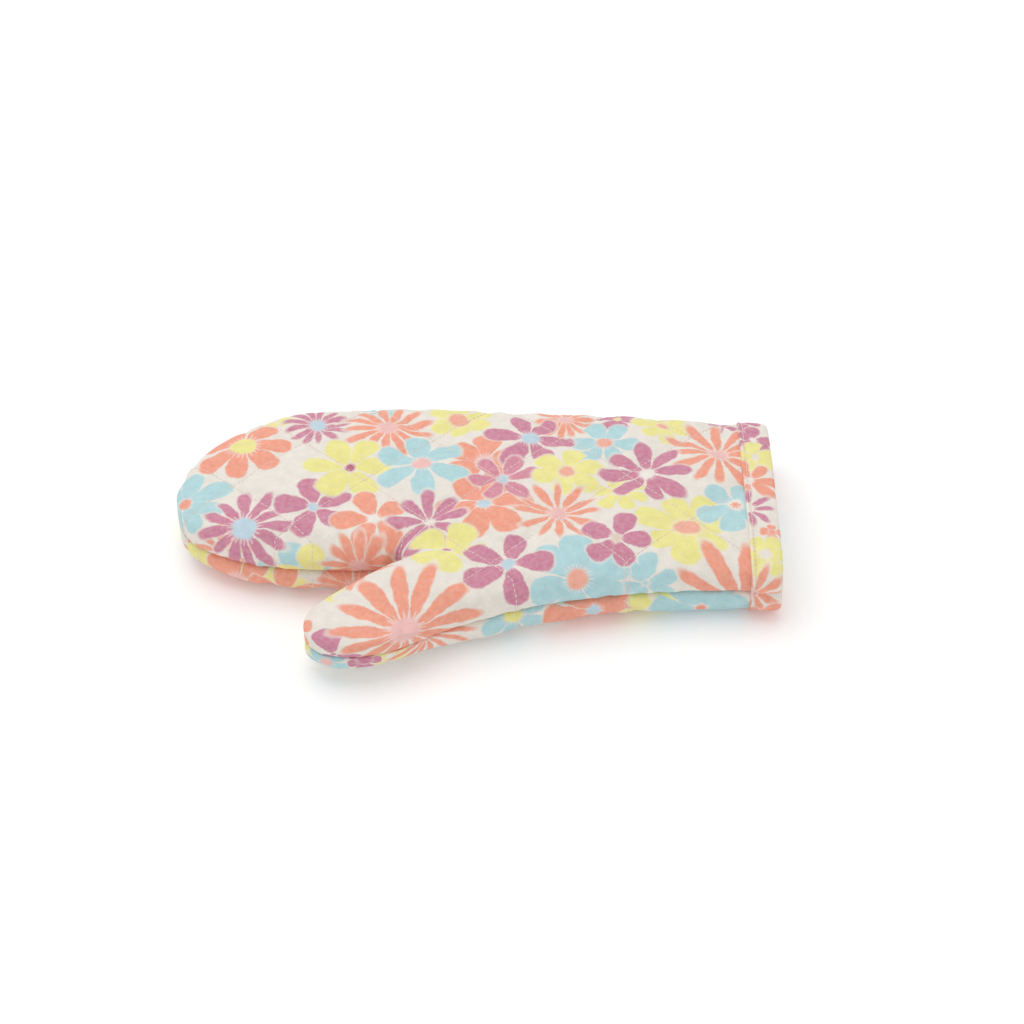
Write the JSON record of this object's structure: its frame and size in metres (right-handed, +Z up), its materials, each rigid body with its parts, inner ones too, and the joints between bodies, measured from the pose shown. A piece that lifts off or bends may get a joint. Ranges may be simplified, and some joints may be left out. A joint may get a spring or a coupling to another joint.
{
  "type": "oven mitt",
  "caption": "Quilted oven mitt with a separate thumb and a bound cuff, printed with loose watercolour flowers, whose fingers and thumb fold over the palm.",
  "frame": {"origin": "centre of the footprint, on the surface that the mitt lies on, palm up", "axes": "+X from the fingertips to the cuff, -Y towards the thumb, +Z up out of the palm"},
  "size_m": [0.33, 0.194, 0.0426],
  "materials": {
    "printed_cotton": "matte",
    "binding_cotton": "matte",
    "lining_cotton": "matte",
    "wadding": "matte",
    "thread": "satin"
  },
  "bodies": {
    "hand": {"palm_outer_panel": "printed_cotton", "back_outer_panel": "printed_cotton", "palm_wadding_hand": "wadding", "back_wadding_hand": "wadding", "palm_lining": "lining_cotton", "back_lining": "lining_cotton", "edge_seam": "lining_cotton", "cuff_binding": "binding_cotton", "palm_quilting_thread": "thread", "back_quilting_thread": "thread", "cuff_topstitch_thread": "thread"},
    "fingers": {"palm_wadding_fingers": "wadding", "back_wadding_fingers": "wadding"},
    "thumb": {"palm_wadding_thumb": "wadding", "back_wadding_thumb": "wadding"}
  },
  "joints": [
    {"name": "finger_fold", "type": "hinge", "parent": "hand", "child": "fingers", "pos_m": [-0.069, 0.034, 0.02], "axis": [0, 1, 0], "range_deg": [0, 55], "stiffness_Nm_per_rad": 0.05, "deforming": ["palm_outer_panel", "back_outer_panel", "palm_lining", "back_lining", "edge_seam", "palm_quilting_thread", "back_quilting_thread"]},
    {"name": "thumb_fold", "type": "hinge", "parent": "hand", "child": "thumb", "pos_m": [-0.0255, -0.051, 0.02], "axis": [-0.8944, 0.4472, 0], "range_deg": [0, 40], "stiffness_Nm_per_rad": 0.03, "deforming": ["palm_outer_panel", "back_outer_panel", "palm_lining", "back_lining", "edge_seam"]}
  ]
}
